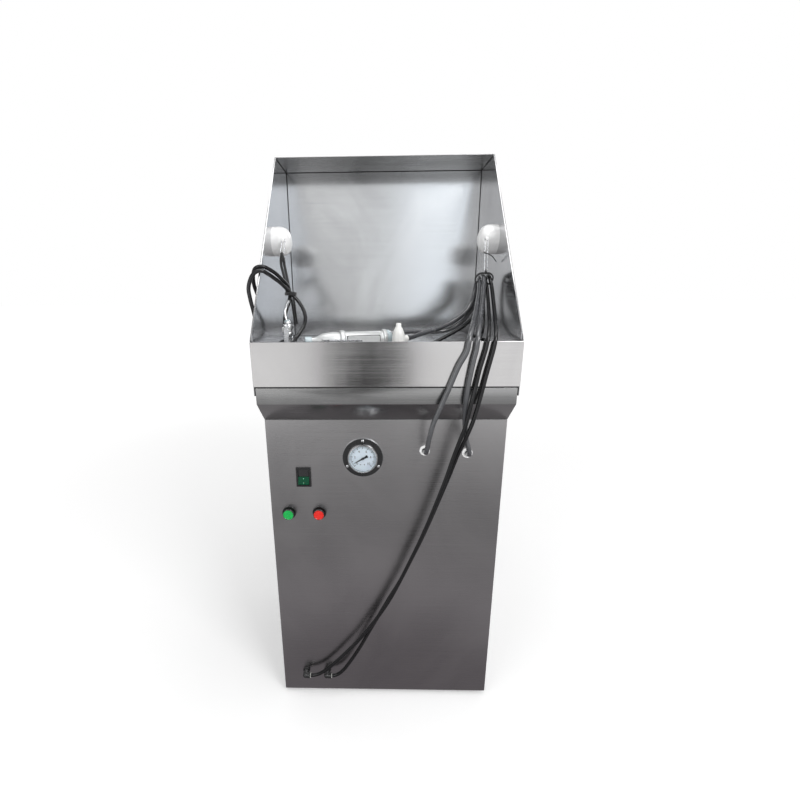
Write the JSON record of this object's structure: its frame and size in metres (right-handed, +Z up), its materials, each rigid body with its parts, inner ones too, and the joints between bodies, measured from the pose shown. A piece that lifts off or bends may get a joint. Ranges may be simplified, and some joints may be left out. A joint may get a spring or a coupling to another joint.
{
  "type": "parts washer",
  "caption": "Stainless steel spray-gun parts washer with an open hood, wash basin, pressure gauge, switches, air and fluid hoses and hand-held cleaning tools",
  "frame": {"origin": "middle of the cabinet and hood on the floor, at the bottom centre of the bounding box without the hoses", "axes": "+Z up, -Y towards the operator, +X to the operator's right"},
  "size_m": [0.5294, 0.4265, 1.28],
  "materials": {
    "brushed_stainless": "satin brushed stainless sheet, lightly reflective",
    "hood_stainless": "bright satin stainless sheet with soft reflections",
    "zinc_steel": "zinc plated and plain steel, semi-matt",
    "bright_steel": "polished steel, small parts and wires",
    "black_rubber": "matt black rubber and woven tie strap",
    "black_hose": "smooth black hose with a soft gloss",
    "black_plastic": "moulded black plastic, lightly glossy",
    "white_plastic": "moulded white plastic, soft gloss",
    "gun_silver": "satin cast aluminium",
    "dial_face": null,
    "clear_lens": "clear gauge lens",
    "green_lens": "dark green translucent rocker lens",
    "green_button": "green translucent push-button",
    "red_button": "red translucent push-button",
    "motor_paint": "blue painted motor body",
    "grey_enclosure": "light grey enclosure",
    "brass": "cast brass",
    "copper_pipe": "copper tube",
    "filter_clear": "clear filter bowl with a black cap",
    "red_handle": "red plastic lever"
  },
  "bodies": {
    "washer": {"side_panel_left": "brushed_stainless", "side_panel_right": "brushed_stainless", "front_panel": "brushed_stainless", "back_panel": "brushed_stainless", "base_pan": "zinc_steel", "corner_posts": "zinc_steel", "rim_front": "brushed_stainless", "rim_side_left": "brushed_stainless", "rim_side_right": "brushed_stainless", "wash_basin": "brushed_stainless", "drain_strainer": "zinc_steel", "work_grate": "brushed_stainless", "rim_gasket": "black_rubber", "apron": "brushed_stainless", "hood_side_left": "hood_stainless", "hood_side_right": "hood_stainless", "hood_back": "hood_stainless", "hood_roof": "hood_stainless", "rear_cover": "brushed_stainless", "panel_screws": "zinc_steel", "levelling_feet": "black_rubber", "foot_locknuts": "zinc_steel", "reservoir": "zinc_steel", "reservoir_lid": "zinc_steel", "drain_pipe": "zinc_steel", "pump_motor": "motor_paint", "pump_head": "brass", "pump_bracket": "zinc_steel", "filter_bowl": "filter_clear", "pressure_manifold": "brass", "fluid_pipes": "copper_pipe", "drain_valve": "brass", "control_box": "grey_enclosure", "mains_gland": "black_plastic", "gauge_case": "black_plastic", "gauge_bezel": "bright_steel", "gauge_dial": "dial_face", "gauge_lens": "clear_lens", "rocker_frame": "black_plastic", "button_bezels": "black_plastic", "hose_grommets": "white_plastic", "air_fittings": "black_plastic", "hose_hangers": "white_plastic", "hanger_wires": "bright_steel", "hose_ties": "black_rubber", "hose_fluid_left": "black_hose", "hose_fluid_right": "black_hose", "hose_air_left": "black_hose", "hose_air_right": "black_hose", "hose_hank": "black_hose", "spray_gun": "bright_steel", "wash_gun": "gun_silver", "rinse_nozzle": "white_plastic"},
    "needle": {"gauge_needle": "black_plastic"},
    "rocker_button": {"rocker": "green_lens"},
    "start_cap": {"start_button": "green_button"},
    "stop_cap": {"stop_button": "red_button"},
    "spray_lever": {"spray_trigger": "bright_steel"},
    "wash_lever": {"wash_trigger": "bright_steel"},
    "drain_lever": {"drain_handle": "red_handle"}
  },
  "joints": [
    {"name": "power_rocker", "type": "hinge", "parent": "washer", "child": "rocker_button", "pos_m": [-0.175, -0.157, 0.593], "axis": [1, 0, 0], "range_deg": [0, 24]},
    {"name": "start_push", "type": "slide", "parent": "washer", "child": "start_cap", "axis": [0, 1, 0], "range_m": [0, 0.004], "stiffness_N_per_m": 300},
    {"name": "stop_push", "type": "slide", "parent": "washer", "child": "stop_cap", "axis": [0, 1, 0], "range_m": [0, 0.004], "stiffness_N_per_m": 300},
    {"name": "gauge_pointer", "type": "hinge", "parent": "washer", "child": "needle", "pos_m": [-0.047, -0.168, 0.638], "axis": [0, 1, 0], "range_deg": [-15, 255], "stiffness_Nm_per_rad": 0.0002},
    {"name": "spray_lever_pull", "type": "hinge", "parent": "washer", "child": "spray_lever", "pos_m": [-0.206, -0.104, 0.902], "axis": [1, 0, 0], "range_deg": [0, 8], "stiffness_Nm_per_rad": 0.5},
    {"name": "wash_lever_pull", "type": "hinge", "parent": "washer", "child": "wash_lever", "pos_m": [-0.11882, -0.1448, 0.8803], "axis": [0, 0, 1], "range_deg": [0, 6], "stiffness_Nm_per_rad": 0.5},
    {"name": "drain_lever_turn", "type": "hinge", "parent": "washer", "child": "drain_lever", "pos_m": [0.15, 0.174, 0.096], "axis": [0, 0, -1], "range_deg": [0, 90]}
  ]
}
